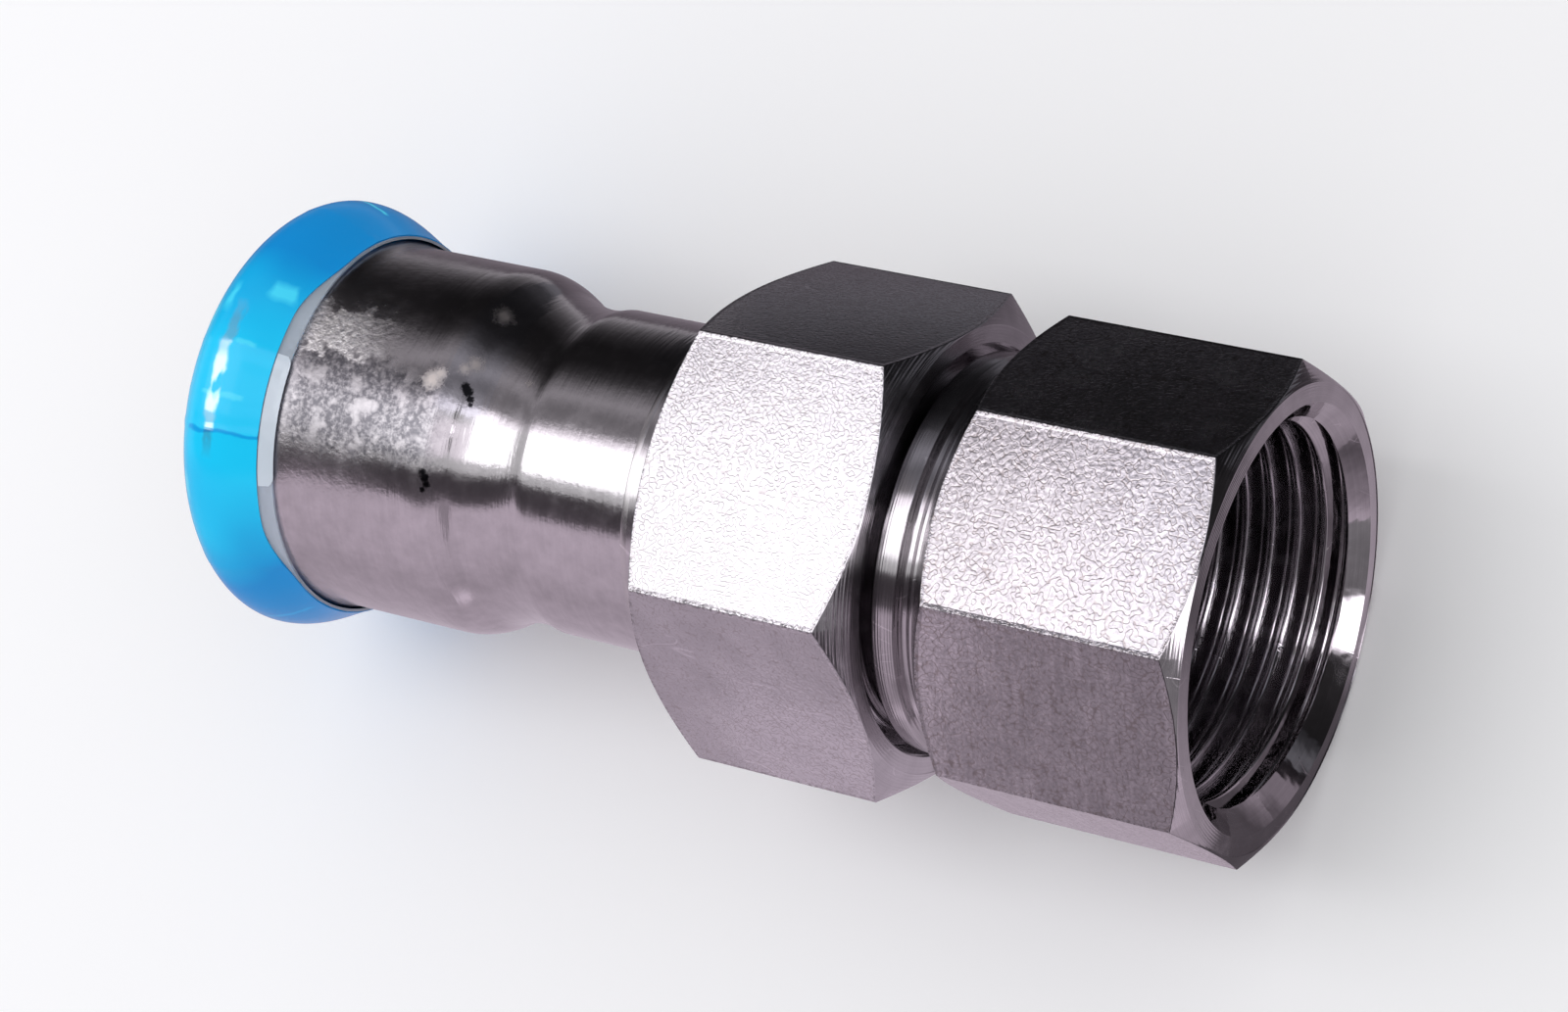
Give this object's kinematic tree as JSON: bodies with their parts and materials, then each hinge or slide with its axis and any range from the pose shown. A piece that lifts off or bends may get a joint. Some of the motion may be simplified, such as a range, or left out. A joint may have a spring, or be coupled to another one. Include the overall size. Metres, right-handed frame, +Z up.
{
  "type": "female union adapter",
  "caption": "Press-fit union adapter: a formed pipe socket with a seal ring, held by a hexagonal union nut to an octagonal body with a female pipe thread.",
  "frame": {"origin": "on the pipe axis, half way between the female mouth and the open end of the press socket", "axes": "+X along the pipe axis towards the female thread's mouth, +Z up as it lies, +Y to the left of +X"},
  "size_m": [0.0946, 0.0428, 0.0382],
  "materials": {
    "body_steel": "turned and milled stainless steel, bright, with fine tool lines",
    "nut_steel": "turned and milled stainless steel, bright, with a fine grain",
    "tube_steel": "formed stainless steel tube, near mirror bright, faintly mottled",
    "gasket_rubber": "matt black moulded rubber",
    "ring_rubber": "smooth black rubber",
    "blue_film": "glossy sky-blue shrink film with soft creases and a clear rim"
  },
  "bodies": {
    "female_end": {"female_adapter": "body_steel"},
    "seal": {"flat_gasket": "gasket_rubber"},
    "nut": {"union_nut": "nut_steel"},
    "press_end": {"union_tail": "tube_steel", "press_socket": "tube_steel", "indicator_film": "blue_film", "o_ring": "ring_rubber"}
  },
  "joints": [
    {"name": "nut_turn", "type": "hinge", "parent": "seal", "child": "nut", "pos_m": [0.0015, 0, 0], "axis": [-1, 0, 0], "range_deg": [0, 1260]},
    {"name": "union_draw", "type": "slide", "parent": "female_end", "child": "seal", "axis": [-1, 0, 0], "range_m": [0, 0.0081]},
    {"name": "press_swivel", "type": "hinge", "parent": "seal", "child": "press_end", "pos_m": [0.0048, 0, 0], "axis": [1, 0, 0], "continuous": true}
  ],
  "couplings": [
    {"joint": "union_draw", "follows": "nut_turn", "m_per_rad": 0.0003675}
  ]
}
